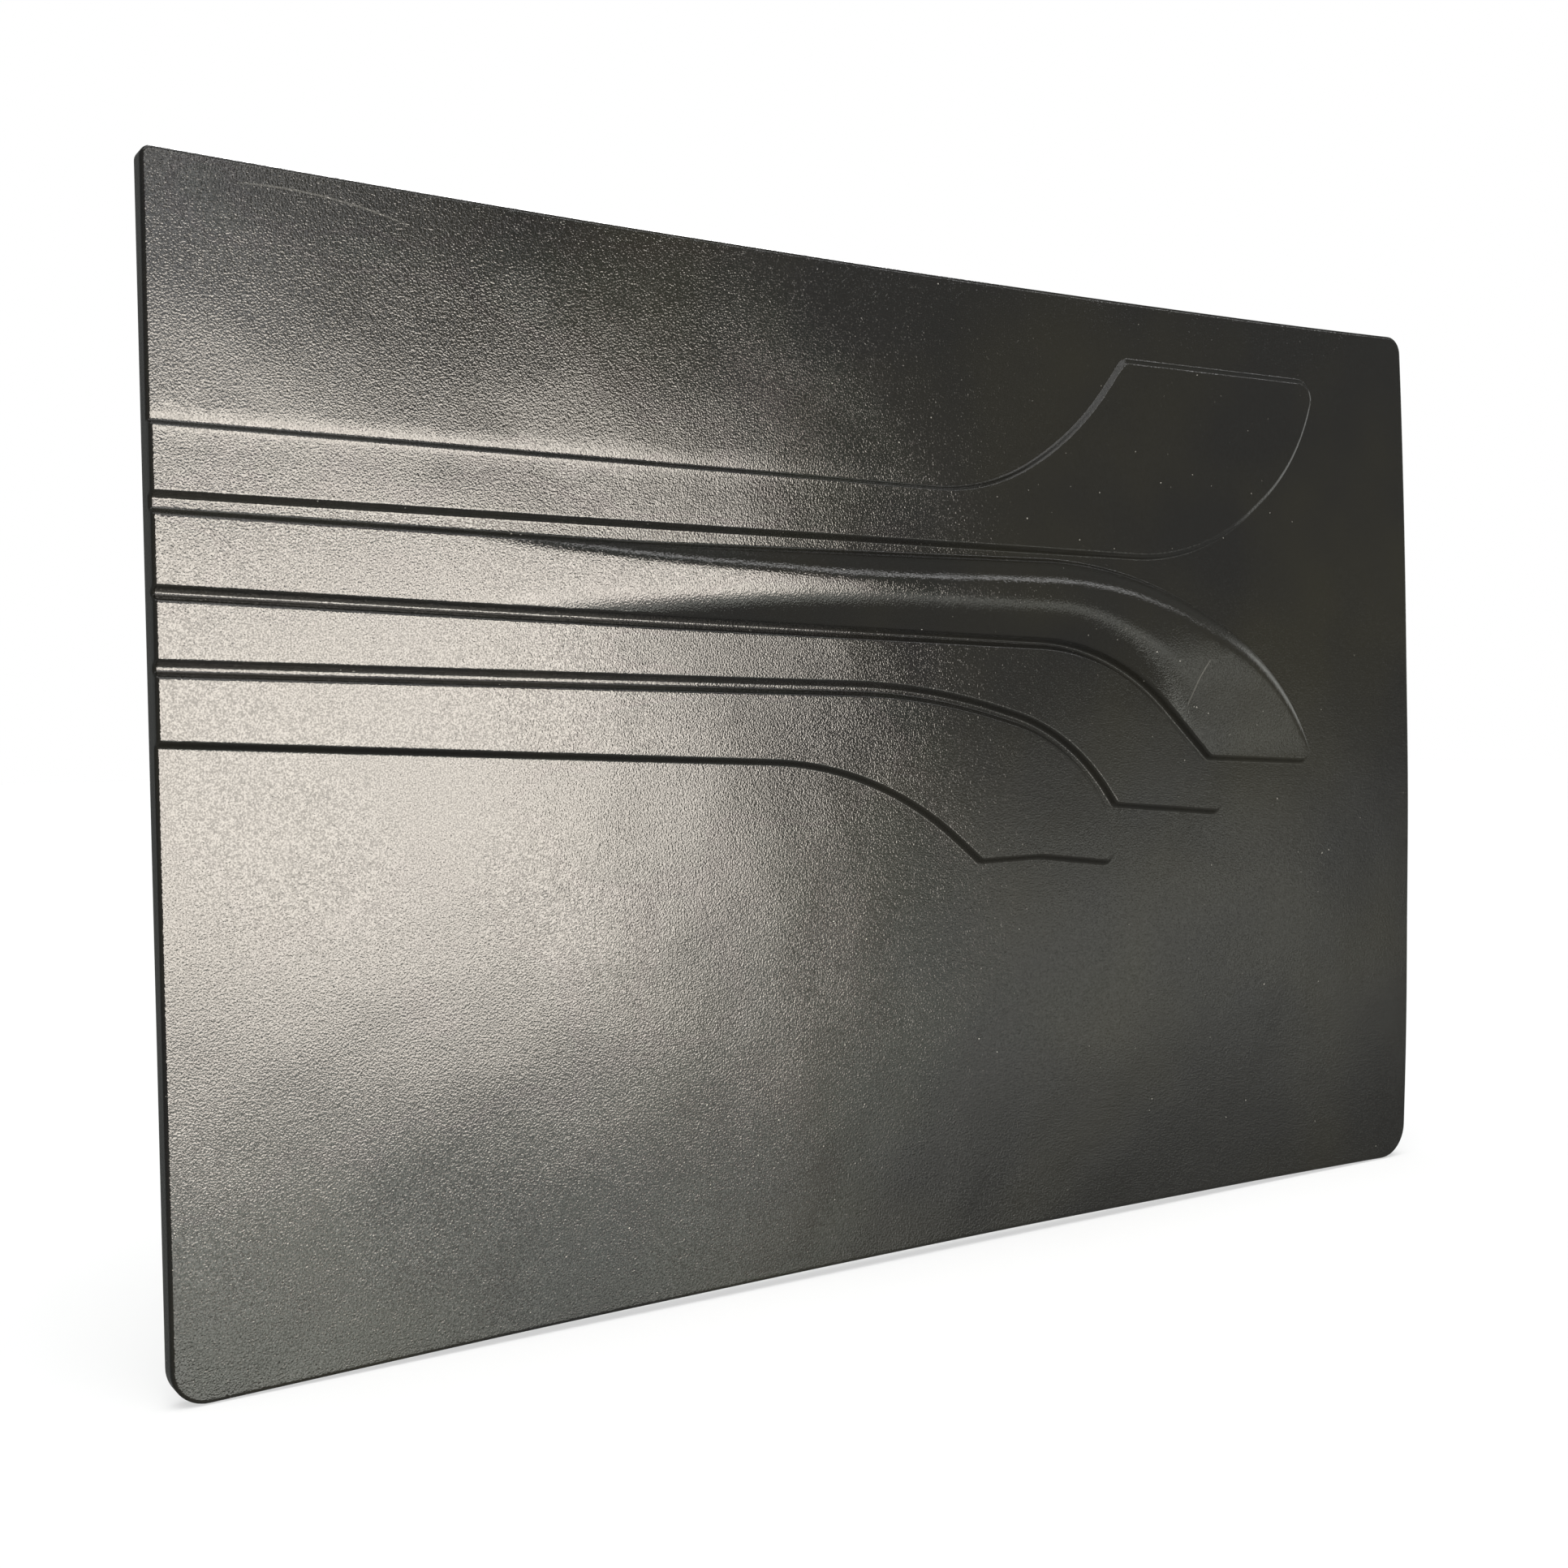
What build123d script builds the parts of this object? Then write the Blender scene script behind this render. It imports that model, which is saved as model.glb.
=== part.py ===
from build123d import *
import os

# Thermoformed liner panel for the side of a truck bed, with the hidden hardware that holds it.
#
# The panel is one vacuum-formed sheet with a narrow edge that turns back towards the truck, and
# four swooping bands raised on its face. Moulded clip seats and foam pads are bonded to its
# back. A push-in clip floats in each seat's keyhole slot, with a foam washer that seals the
# truck's hole.
#
# Frame, in millimetres: X runs along the truck, Z is up, and the face looks towards -Y. The
# origin is the middle of the plane Y = 0, where the panel's edge rests on the truck's wall.

os.makedirs("parts", exist_ok=True)

# Panel
LENGTH = 890.0  # along X, between the corners
HEIGHT = 600.0  # along Z, between the corners
DEPTH = 12.0  # from the truck's wall to the face of the panel
SHEET = 3.0  # thickness of the formed sheet
ROLL = 2.2  # radius between the face and the turned-back edge
TOP_BOW = 5.0  # how far the long edges dip in at their middle
BOTTOM_BOW = 4.5
RIGHT_BOW = 7.0  # how far the right edge swells out at its middle
CORNER_RADII = {"top_left": 5.5, "top_right": 12.0, "bottom_right": 24.0, "bottom_left": 18.0}

# Raised bands
BAND_RISE = 4.5  # how far the bands stand out of the face
BAND_LIP = 2.0  # radius along the bands' upper edges
BAND_ROOT = 2.5  # how deep each band's solid is rooted in the sheet
CROWN_TOP = 14.5  # how far the crown of the second band stands out of the face

# Clip seats, bonded to the back of the panel
CLIP_COLUMNS = (-390.0, -130.0, 130.0, 390.0)
CLIP_ROW = 262.0  # height of the upper row above the middle, and depth of the lower one
SIDE_CLIP_HEIGHT = -10.0  # height of the two clips at the short edges
SEAT_FOOT = (46.0, 38.0)
SEAT_FOOT_THICKNESS = 1.2
SEAT_TOWER = (32.0, 27.0)
SEAT_WALL = 2.2
SEAT_PLATE = 2.0  # thickness of the plate that holds the keyhole slot
SEAT_CLEARANCE = 3.5  # from the plate to the truck's wall
GUSSET = (3.5, 3.4, 1.6)  # reach, height and thickness of the gussets
NIB_RADIUS = 1.1  # the two nibs that a clip's neck snaps past

# Retainer clips: a spool that floats in the seat, and a barbed shank for the truck's hole
CLIP_TRAVEL = 2.0  # how far a clip floats each way along its slot
PLAY = 0.3  # gap all round between a clip and its seat
NECK_RADIUS = 4.0
HEAD_RADIUS = 9.0
HEAD_THICKNESS = 1.6
COLLAR_RADIUS = 8.0
COLLAR_THICKNESS = 1.2
BOSS_RADIUS = 5.3  # centres the washer
SHANK_RADIUS = 3.8  # plain stretch, for an 8 mm hole
SHANK_START = -0.8
SHANK_END = 2.5
CORE_RADIUS = 2.6
FIN_RADII = (5.0, 4.8, 4.6)
FIN_PITCH = 3.2
SPLIT = 1.6  # slot that lets the shank squeeze in

# Foam washers and pads
WASHER_RADIUS = 10.0
WASHER_GAP = 0.1
PAD_SIZE = (90.0, 40.0)
PAD_CORNER = 4.0
PAD_EDGE = 1.5
PAD_PLACES = (  # X, Z and the turn of each pad
    (-250.0, 225.0, 0),
    (0.0, 225.0, 0),
    (400.0, 125.0, 90),
    (-250.0, -150.0, 0),
    (0.0, -170.0, 0),
    (250.0, -150.0, 0),
)

left = -LENGTH / 2
right = LENGTH / 2
top = HEIGHT / 2
bottom = -HEIGHT / 2

# Band outlines as corners: X, Z and the radius that rounds the corner. All four run out
# through the left edge of the panel.
UPPER_BAND = (
    (left, 136.5, 0),
    (left, 170.0, 0),
    (59.0, 165.3, 155.0),
    (133.0, 208.0, 210.0),
    (172.0, 257.0, 8.0),
    (352.0, 258.5, 12.0),
    (336.0, 202.0, 135.0),
    (241.0, 130.0, 175.0),
)
CROWNED_BAND = (
    (left, 92.2, 0),
    (left, 128.5, 0),
    (-190.0, 123.5, 2000.0),
    (185.0, 125.3, 340.0),
    (316.0, 56.0, 165.0),
    (347.0, -7.0, 7.0),
    (245.5, -2.2, 6.0),
    (160.5, 73.2, 172.0),
)
MIDDLE_BAND = (
    (left, 57.0, 0),
    (left, 87.8, 0),
    (158.5, 68.8, 168.0),
    (241.0, -5.0, 60.0),
    (263.0, -40.0, 7.0),
    (160.0, -31.0, 6.0),
    (126.0, 15.5, 145.0),
    (9.0, 46.0, 480.0),
)
LOWER_BAND = (
    (left, 18.5, 0),
    (left, 51.6, 0),
    (7.0, 40.4, 478.0),
    (122.0, 10.8, 130.0),
    (153.0, -34.0, 20.0),
    (159.0, -69.0, 6.0),
    (96.0, -61.5, 60.0),
    (48.0, -62.0, 5.0),
    (-28.0, -1.1, 230.0),
)
BANDS = (UPPER_BAND, CROWNED_BAND, MIDDLE_BAND, LOWER_BAND)

# Sections across the crown: the foot on the band's lower edge, the foot on its upper edge,
# how far the top stands out of the face, and the widths of the lower and the upper slope.
CROWN_SECTIONS = (
    ((-300.0, 89.0), (-300.0, 124.0), 5.0, 4.0, 3.0),
    ((-200.0, 86.0), (-200.0, 122.0), 7.5, 8.0, 4.0),
    ((-100.0, 82.5), (-100.0, 122.5), 11.0, 13.0, 6.0),
    ((0.0, 79.5), (0.0, 123.5), 14.0, 17.0, 8.0),
    ((80.0, 76.0), (90.0, 123.0), CROWN_TOP, 18.5, 9.0),
    ((139.0, 66.5), (175.0, 115.5), CROWN_TOP, 18.5, 9.0),
    ((182.0, 48.0), (252.0, 87.5), 12.0, 14.0, 8.0),
    ((219.0, 17.5), (318.0, 43.0), 7.5, 7.0, 5.0),
    ((240.0, 0.5), (342.0, 0.0), 4.8, 3.0, 3.0),
)


def tray_plan(inset):
    """Plan of the tray as seen from the front, moved in by inset on every side."""
    x_left = left + inset
    x_right = right - inset
    y_top = top - inset
    y_bottom = bottom + inset
    corners = {
        "top_left": (x_left, y_top),
        "top_right": (x_right, y_top),
        "bottom_right": (x_right, y_bottom),
        "bottom_left": (x_left, y_bottom),
    }
    with BuildSketch() as plan:
        with BuildLine():
            Line(corners["bottom_left"], corners["top_left"])
            ThreePointArc(corners["top_left"], (0, y_top - TOP_BOW), corners["top_right"])
            ThreePointArc(corners["top_right"], (x_right + RIGHT_BOW, 0), corners["bottom_right"])
            ThreePointArc(
                corners["bottom_right"], (0, y_bottom + BOTTOM_BOW), corners["bottom_left"]
            )
        make_face()
        for name, (x, y) in corners.items():
            corner = plan.vertices().sort_by_distance((x, y, 0))[0]
            fillet(corner, CORNER_RADII[name] - inset)
    return plan.sketch


def band_plan(outline, inset=0.0):
    """Plan of a raised band as seen from the front, moved in by inset."""
    points = [(x, z) for x, z, _ in outline]
    radii = [radius for _, _, radius in outline]
    with BuildSketch() as plan:
        with BuildLine():
            FilletPolyline(points, radius=radii, close=True)
        make_face()
        if inset:
            offset(amount=-inset, mode=Mode.REPLACE)
    return plan.sketch


def crown_section(section, inset=0.0):
    """One section across the crown, upright between its two feet, moved in by inset."""
    lower_foot, upper_foot, rise, lower_slope, upper_slope = section
    across = Vector(upper_foot[0] - lower_foot[0], 0, upper_foot[1] - lower_foot[1])
    width = across.length
    base = BAND_RISE - 1.5 - inset
    plane = Plane(
        origin=(lower_foot[0], -DEPTH, lower_foot[1]),
        x_dir=across,
        z_dir=across.cross(Vector(0, -1, 0)),
    )
    with BuildSketch(plane) as profile:
        with BuildLine():
            Polyline(
                (inset + 1.0, base),
                (lower_slope + 0.4 * inset, rise - inset),
                (width - upper_slope - 0.6 * inset, rise - inset),
                (width - 1.0 - inset, base),
                close=True,
            )
        make_face()
    return profile.sketch


# The sheet: a shallow tray with the bands and the crown standing out of it, hollowed behind
with BuildPart() as liner_shell:
    with BuildSketch(Plane.XZ):
        add(tray_plan(0))
    extrude(amount=DEPTH)
    fillet(liner_shell.faces().sort_by(Axis.Y)[0].edges(), ROLL)
    for outline in BANDS:
        with BuildSketch(Plane.XZ.offset(DEPTH + BAND_RISE)):
            add(band_plan(outline))
        extrude(amount=-BAND_RISE - BAND_ROOT)
    crests = liner_shell.faces().filter_by_position(
        Axis.Y, -DEPTH - BAND_RISE - 0.1, -DEPTH - BAND_RISE + 0.1
    )
    fillet(crests.edges(), BAND_LIP)
    loft([crown_section(section) for section in CROWN_SECTIONS], ruled=True)
    with BuildSketch(Plane.XZ):
        add(tray_plan(SHEET))
    extrude(amount=DEPTH - SHEET, mode=Mode.SUBTRACT)
    for outline in BANDS:
        with BuildSketch(Plane.XZ.offset(DEPTH + BAND_RISE - SHEET)):
            add(band_plan(outline, SHEET))
        extrude(amount=-BAND_RISE - SHEET, mode=Mode.SUBTRACT)
    cavity = [crown_section(section, SHEET) for section in CROWN_SECTIONS]
    loft(cavity, ruled=True, mode=Mode.SUBTRACT)
liner_shell.part.label = "liner_shell"
export_step(liner_shell.part, "parts/liner_shell.step")

back = SHEET - DEPTH  # Y of the panel's back
seat_floor = back + SEAT_FOOT_THICKNESS
seat_top = -SEAT_CLEARANCE
slot_radius = NECK_RADIUS + PLAY
tower_end = SEAT_TOWER[0] / 2
chamber_width = SEAT_TOWER[1] - 2 * SEAT_WALL
# The nibs stand where the neck misses them by PLAY at the end of its travel
nib_reach = NECK_RADIUS + NIB_RADIUS + PLAY
nib_place = -CLIP_TRAVEL - (nib_reach**2 - slot_radius**2) ** 0.5 - 0.1

head_top = seat_top - SEAT_PLATE - PLAY
head_bottom = head_top - HEAD_THICKNESS
collar_bottom = seat_top + PLAY
collar_top = collar_bottom + COLLAR_THICKNESS
nose = SHANK_END + len(FIN_RADII) * FIN_PITCH

clip_places = [(x, CLIP_ROW) for x in CLIP_COLUMNS]
clip_places += [(x, -CLIP_ROW) for x in CLIP_COLUMNS]
clip_places += [(x, SIDE_CLIP_HEIGHT) for x in (CLIP_COLUMNS[0], CLIP_COLUMNS[-1])]


def front_plane(x, y, z):
    """Plane seen from the front with its origin at x, y, z. Sketches use X and Z on it."""
    return Plane(origin=(x, y, z), x_dir=(1, 0, 0), z_dir=(0, -1, 0))


# Clip seats: a foot, a tower with a chamber open at one end, and a plate with a keyhole slot
for number, (x, z) in enumerate(clip_places, start=1):
    with BuildPart() as clip_seat:
        with BuildSketch(front_plane(x, back, z)):
            RectangleRounded(*SEAT_FOOT, 4.0)
        extrude(amount=-SEAT_FOOT_THICKNESS)
        with BuildSketch(front_plane(x, seat_floor, z)):
            RectangleRounded(*SEAT_TOWER, 2.0)
        extrude(amount=seat_floor - seat_top)
        for place in (-8.0, 8.0):
            for side in (-1, 1):
                foot = side * (SEAT_TOWER[1] / 2 - 0.5)
                root = (x + place, seat_floor, z + foot)
                rib_plane = Plane(origin=root, x_dir=(0, 0, side), z_dir=(-side, 0, 0))
                with BuildSketch(rib_plane):
                    with BuildLine():
                        Polyline((0, 0), (GUSSET[0] + 0.5, 0), (0, GUSSET[1]), close=True)
                    make_face()
                extrude(amount=GUSSET[2] / 2, both=True)
        with BuildSketch(front_plane(x, seat_floor, z)):
            with Locations((-SEAT_WALL / 2, 0)):
                Rectangle(SEAT_TOWER[0] - SEAT_WALL, chamber_width)
        extrude(amount=seat_floor - seat_top + SEAT_PLATE, mode=Mode.SUBTRACT)
        with BuildSketch(front_plane(x, seat_top, z)):
            with Locations(((CLIP_TRAVEL - tower_end) / 2, 0)):
                Rectangle(CLIP_TRAVEL + tower_end, 2 * slot_radius)
            with Locations((CLIP_TRAVEL, 0)):
                Circle(slot_radius)
            with Locations((nib_place, -slot_radius), (nib_place, slot_radius)):
                Circle(NIB_RADIUS, mode=Mode.SUBTRACT)
        extrude(amount=SEAT_PLATE, mode=Mode.SUBTRACT)
    clip_seat.part.label = f"clip_seat_{number:02d}"
    export_step(clip_seat.part, f"parts/clip_seat_{number:02d}.step")

# Retainer clips: turned about the line through the truck's hole
for number, (x, z) in enumerate(clip_places, start=1):
    with BuildPart() as retainer_clip:
        with BuildSketch(Plane(origin=(x, 0, z))):
            with BuildLine():
                Polyline(
                    (0, head_bottom),
                    (HEAD_RADIUS, head_bottom),
                    (HEAD_RADIUS, head_top),
                    (NECK_RADIUS, head_top),
                    (NECK_RADIUS, collar_bottom),
                    (COLLAR_RADIUS, collar_bottom),
                    (COLLAR_RADIUS, collar_top),
                    (BOSS_RADIUS, collar_top),
                    (BOSS_RADIUS, SHANK_START),
                    (SHANK_RADIUS, SHANK_START),
                    (SHANK_RADIUS, SHANK_END),
                    (CORE_RADIUS, SHANK_END + 0.3),
                    (CORE_RADIUS, nose),
                    (0, nose + 1.4),
                    close=True,
                )
            make_face()
            for step, fin_radius in enumerate(FIN_RADII):
                start = SHANK_END + step * FIN_PITCH
                with BuildLine():
                    Polyline(
                        (0, start),
                        (CORE_RADIUS, start),
                        (fin_radius, start + 0.5),
                        (CORE_RADIUS - 0.4, start + FIN_PITCH),
                        (0, start + FIN_PITCH),
                        close=True,
                    )
                make_face()
        revolve(axis=Axis((x, 0, z), (0, 1, 0)))
        rims = retainer_clip.edges().filter_by(GeomType.CIRCLE)
        fillet(rims.filter_by(lambda edge: edge.radius == HEAD_RADIUS), 0.6)
        fillet(rims.filter_by(lambda edge: edge.radius == COLLAR_RADIUS), 0.5)
        with BuildSketch(front_plane(x, nose + 2.0, z)):
            Rectangle(SPLIT, 3 * COLLAR_RADIUS)
        extrude(amount=nose + 2.0 - SHANK_END - 0.6, mode=Mode.SUBTRACT)
    retainer_clip.part.label = f"retainer_clip_{number:02d}"
    export_step(retainer_clip.part, f"parts/retainer_clip_{number:02d}.step")

# Foam washers between each clip's collar and the truck's wall
for number, (x, z) in enumerate(clip_places, start=1):
    with BuildPart() as seal_washer:
        with BuildSketch(front_plane(x, 0, z)):
            Circle(WASHER_RADIUS)
            Circle(BOSS_RADIUS + WASHER_GAP, mode=Mode.SUBTRACT)
        extrude(amount=-collar_top)
    seal_washer.part.label = f"seal_washer_{number:02d}"
    export_step(seal_washer.part, f"parts/seal_washer_{number:02d}.step")

# Foam pads that keep the middle of the panel from drumming on the truck's wall
for number, (x, z, turn) in enumerate(PAD_PLACES, start=1):
    with BuildPart() as foam_pad:
        with BuildSketch(front_plane(x, back, z)):
            RectangleRounded(*PAD_SIZE, PAD_CORNER, rotation=turn)
        extrude(amount=back)
        fillet(foam_pad.faces().sort_by(Axis.Y)[-1].edges(), PAD_EDGE)
    foam_pad.part.label = f"foam_pad_{number:02d}"
    export_step(foam_pad.part, f"parts/foam_pad_{number:02d}.step")
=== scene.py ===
import math

import bmesh
import bpy
import numpy as np
from mathutils import Matrix, Vector, noise
from mathutils.geometry import delaunay_2d_cdt


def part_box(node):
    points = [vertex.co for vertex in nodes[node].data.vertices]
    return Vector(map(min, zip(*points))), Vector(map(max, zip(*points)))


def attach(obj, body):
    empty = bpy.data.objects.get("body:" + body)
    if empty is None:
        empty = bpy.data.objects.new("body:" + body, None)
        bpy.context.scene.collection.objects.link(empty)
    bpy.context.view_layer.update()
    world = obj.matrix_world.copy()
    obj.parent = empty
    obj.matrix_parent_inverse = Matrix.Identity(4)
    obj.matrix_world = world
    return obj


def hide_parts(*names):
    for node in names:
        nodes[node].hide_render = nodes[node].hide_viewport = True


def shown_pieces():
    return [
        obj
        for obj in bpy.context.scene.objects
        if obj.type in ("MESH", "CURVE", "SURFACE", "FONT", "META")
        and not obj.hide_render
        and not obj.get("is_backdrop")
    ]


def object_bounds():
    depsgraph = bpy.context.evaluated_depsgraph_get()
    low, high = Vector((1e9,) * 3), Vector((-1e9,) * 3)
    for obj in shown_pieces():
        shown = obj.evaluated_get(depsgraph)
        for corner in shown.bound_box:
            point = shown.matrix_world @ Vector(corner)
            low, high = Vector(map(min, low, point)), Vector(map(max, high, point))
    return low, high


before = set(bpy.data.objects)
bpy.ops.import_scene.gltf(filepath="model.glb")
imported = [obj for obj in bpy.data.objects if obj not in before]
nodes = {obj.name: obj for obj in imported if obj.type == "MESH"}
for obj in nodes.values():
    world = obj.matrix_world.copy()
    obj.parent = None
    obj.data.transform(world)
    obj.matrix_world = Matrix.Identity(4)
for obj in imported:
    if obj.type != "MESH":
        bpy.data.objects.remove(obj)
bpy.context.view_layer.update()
MM = 0.001

# ---------------------------------------------------------------- the sheet, in millimetres
# X runs along the truck, Z is up and the face looks towards -Y.

LENGTH, HEIGHT, DEPTH, SHEET = 890.0, 600.0, 12.0, 3.0
ROLL = 2.2  # radius of the face's rolled edge
INNER_ROLL = 1.0  # and of the same bend inside the sheet
TOP_BOW, BOTTOM_BOW, RIGHT_BOW = 5.0, 4.5, 7.0
BAND_RISE = 4.5
FRONT_STEP = (-1.8, 3.7)  # where a band's slope starts, from its outline, and its width
BACK_STEP = (1.2, 3.6)
BACK_SETBACK = 2.4  # the crown's slopes are this much further in on the back
CROWN_EXTRA = 10.0  # how far the crown stands out of its own band
CROWN_FROM = (-300.0, -7.0)  # X and Z at which the crown starts to stand out
CROWN_OVER = (300.0, 90.0)  # and the distance over which it does
LOWER_SLOPE, UPPER_SLOPE = (4.0, 14.5), (3.0, 6.0)  # width at first, and what the crown adds
RIDGE = 8.0  # half the width over which the crown's ridge is rounded
FADE, FADE_FROM, FADE_OVER = 0.4, 40.0, 140.0  # the upper band is shallower to the right
GROOVE, BEAD, BEAD_REACH = 0.38, 0.20, 8.0  # beside the upper band's upper edge
RIPPLES = (  # height, wavelengths / 2 pi along X and Z, phase
    (0.20, 47.0, 90.0, 0.8),
    (0.16, 83.0, -38.0, 2.1),
    (0.10, 29.0, 26.0, 0.0),
)
LEFT, RIGHT = -LENGTH / 2, LENGTH / 2
BEYOND = -470.0  # the bands' outlines run on past the left edge

# Corners of the bands' outlines: X, Z and the radius that rounds the corner, along the upper
# edge from the left, round the end and back along the lower edge.
UPPER_BAND = (
    (LEFT, 170.0, 0),
    (59.0, 165.3, 155.0),
    (133.0, 208.0, 210.0),
    (172.0, 257.0, 8.0),
    (352.0, 258.5, 12.0),
    (336.0, 202.0, 135.0),
    (241.0, 130.0, 175.0),
    (LEFT, 136.5, 0),
)
CROWNED_BAND = (
    (LEFT, 128.5, 0),
    (-190.0, 123.5, 2000.0),
    (185.0, 125.3, 340.0),
    (316.0, 56.0, 165.0),
    (347.0, -7.0, 7.0),
    (245.5, -2.2, 6.0),
    (160.5, 73.2, 172.0),
    (LEFT, 92.2, 0),
)
MIDDLE_BAND = (
    (LEFT, 87.8, 0),
    (158.5, 68.8, 168.0),
    (241.0, -5.0, 60.0),
    (263.0, -40.0, 7.0),
    (160.0, -31.0, 6.0),
    (126.0, 15.5, 145.0),
    (9.0, 46.0, 480.0),
    (LEFT, 57.0, 0),
)
LOWER_BAND = (
    (LEFT, 51.6, 0),
    (7.0, 40.4, 478.0),
    (122.0, 10.8, 130.0),
    (153.0, -34.0, 20.0),
    (159.0, -69.0, 6.0),
    (96.0, -61.5, 60.0),
    (48.0, -62.0, 5.0),
    (-28.0, -1.1, 230.0),
    (LEFT, 18.5, 0),
)


def unit(vector):
    return vector / np.linalg.norm(vector)


def rounded_path(corners):
    """Lines (start, end) and arcs (centre, radius, start angle, sweep) along the corners."""
    points = [np.array(corner[:2], float) for corner in corners]
    parts = []
    start = points[0]
    for index in range(1, len(points) - 1):
        here, radius = points[index], corners[index][2]
        back_way, on_way = unit(points[index - 1] - here), unit(points[index + 1] - here)
        half = math.acos(max(-1.0, min(1.0, float(back_way @ on_way)))) / 2
        reach = radius / math.tan(half)
        enter, leave = here + back_way * reach, here + on_way * reach
        centre = here + unit(back_way + on_way) * radius / math.sin(half)
        first = math.atan2(*(enter - centre)[::-1])
        sweep = math.atan2(*(leave - centre)[::-1]) - first
        sweep = (sweep + math.pi) % (2 * math.pi) - math.pi
        parts.append((start, enter))
        parts.append((centre, radius, first, sweep))
        start = leave
    parts.append((start, points[-1]))
    return parts


def sample(parts, spacing, turn=7.0):
    """Points along a path, and at each the unit normal on its right-hand side."""
    points, normals = [], []
    for part in parts:
        if len(part) == 2:
            start, end = part
            along = unit(end - start)
            count = max(1, round(float(np.linalg.norm(end - start)) / spacing))
            for step in range(count):
                points.append(start + (end - start) * step / count)
                normals.append((along[1], -along[0]))
        else:
            centre, radius, first, sweep = part
            count = max(3, math.ceil(abs(sweep) / min(math.radians(turn), spacing / radius)))
            for step in range(count):
                angle = first + sweep * step / count
                outward = np.array((math.cos(angle), math.sin(angle)))
                points.append(centre + radius * outward)
                normals.append(outward * math.copysign(1, sweep))
    points.append(parts[-1][1])
    normals.append(normals[-1])
    return np.array(points), np.array(normals)


def distance(parts, p):
    """Distance from points p to a path."""
    best = np.full(len(p), np.inf)
    for part in parts:
        if len(part) == 2:
            start, end = part
            along = end - start
            t = np.clip(((p - start) @ along) / (along @ along), 0, 1)
            away = np.linalg.norm(p - start - t[:, None] * along, axis=1)
        else:
            centre, radius, first, sweep = part
            rel = p - centre
            turned = (np.arctan2(rel[:, 1], rel[:, 0]) - first) * math.copysign(1, sweep)
            turned = turned % (2 * math.pi)
            away = np.abs(np.linalg.norm(rel, axis=1) - radius)
            away = np.where(turned <= abs(sweep), away, np.inf)
        best = np.minimum(best, away)
    return best


def inside(loop, p):
    """Which points p are inside a closed loop of points."""
    result = np.zeros(len(p), bool)
    after = np.roll(loop, -1, axis=0)
    for low in range(0, len(p), 8000):
        x, z = p[low : low + 8000].T
        crosses = (loop[:, 1][:, None] > z) != (after[:, 1][:, None] > z)
        with np.errstate(divide="ignore", invalid="ignore"):
            slope = (after[:, 0] - loop[:, 0]) / (after[:, 1] - loop[:, 1])
            at = loop[:, 0][:, None] + (z - loop[:, 1][:, None]) * slope[:, None]
        result[low : low + 8000] = (crosses & (x < at)).sum(axis=0) % 2 == 1
    return result


def smooth(t):
    t = np.clip(t, 0, 1)
    return t * t * (3 - 2 * t)


def run_out(corners):
    """The same corners with both ends carried on past the left edge."""
    corners = list(corners)
    for end, inner in ((0, 1), (-1, -2)):
        (x, z, _), (x2, z2, _) = corners[end], corners[inner]
        corners[end] = (BEYOND, z + (z - z2) / (x - x2) * (BEYOND - x), 0)
    return corners


bands = []
for outline in (UPPER_BAND, CROWNED_BAND, MIDDLE_BAND, LOWER_BAND):
    path = rounded_path(run_out(outline))
    bands.append((path, sample(path, 3.0, 3.0)[0]))
crowned = run_out(CROWNED_BAND)
crown_upper = rounded_path(crowned[:5])
upper_edge = rounded_path(run_out(UPPER_BAND)[:4])
crown_lower = rounded_path(crowned[5:])


def depths_into_bands(p):
    """Signed distance of points p from each band's outline, positive on the band."""
    return [np.where(inside(loop, p), 1, -1) * distance(path, p) for path, loop in bands]


def crown_growth(p):
    """0 where the crown hasn't begun or has died away, 1 where it stands out in full."""
    along_x, along_z = ((p - CROWN_FROM) / CROWN_OVER).T
    return smooth(along_x) * smooth(along_z)


def slope_widths(growth):
    """Widths of the crown's lower and upper slope."""
    return [start + added * growth for start, added in (LOWER_SLOPE, UPPER_SLOPE)]


def ramp(d, width, radius):
    """Climbs in a straight line from 0 at d = 0 to 1 near width, rounded over radius."""
    near_top = 1 - (width + radius - d) ** 2 / (4 * radius * width)
    return np.where(d < width - radius, d / width, np.where(d < width + radius, near_top, 1))


def crown_height(p, into, setback=0.0):
    """How far the crown stands out of the crowned band. setback moves its slopes inwards."""
    growth = crown_growth(p)
    low_width, high_width = slope_widths(growth)
    low = np.maximum(distance(crown_lower, p) - setback, 0)
    high = np.maximum(distance(crown_upper, p) - setback, 0)
    shape = ramp(low, low_width, np.minimum(low_width, RIDGE))
    shape *= ramp(high, high_width, high_width)
    return np.where(into > 0, CROWN_EXTRA * growth * shape, 0)


def ripple(p):
    """The slight unevenness of a formed sheet."""
    x, z = p.T
    return sum(high * np.sin(x / long + z / tall + phase) for high, long, tall, phase in RIPPLES)


def bowed(start, end, bow, count):
    """Points from start to end, bowed to the right-hand side by bow, ends left out."""
    t = np.linspace(0, 1, count + 1)[1:-1, None]
    side = unit(np.array((end - start)[::-1]) * (1, -1))
    return start + (end - start) * t + side * bow * (1 - (2 * t - 1) ** 2)


# The tray's corners, clockwise from the lower left: place and radius
TRAY_CORNERS = (
    (np.array((LEFT, -HEIGHT / 2)), 18.0),
    (np.array((LEFT, HEIGHT / 2)), 5.5),
    (np.array((RIGHT, HEIGHT / 2)), 12.0),
    (np.array((RIGHT, -HEIGHT / 2)), 24.0),
)
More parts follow.
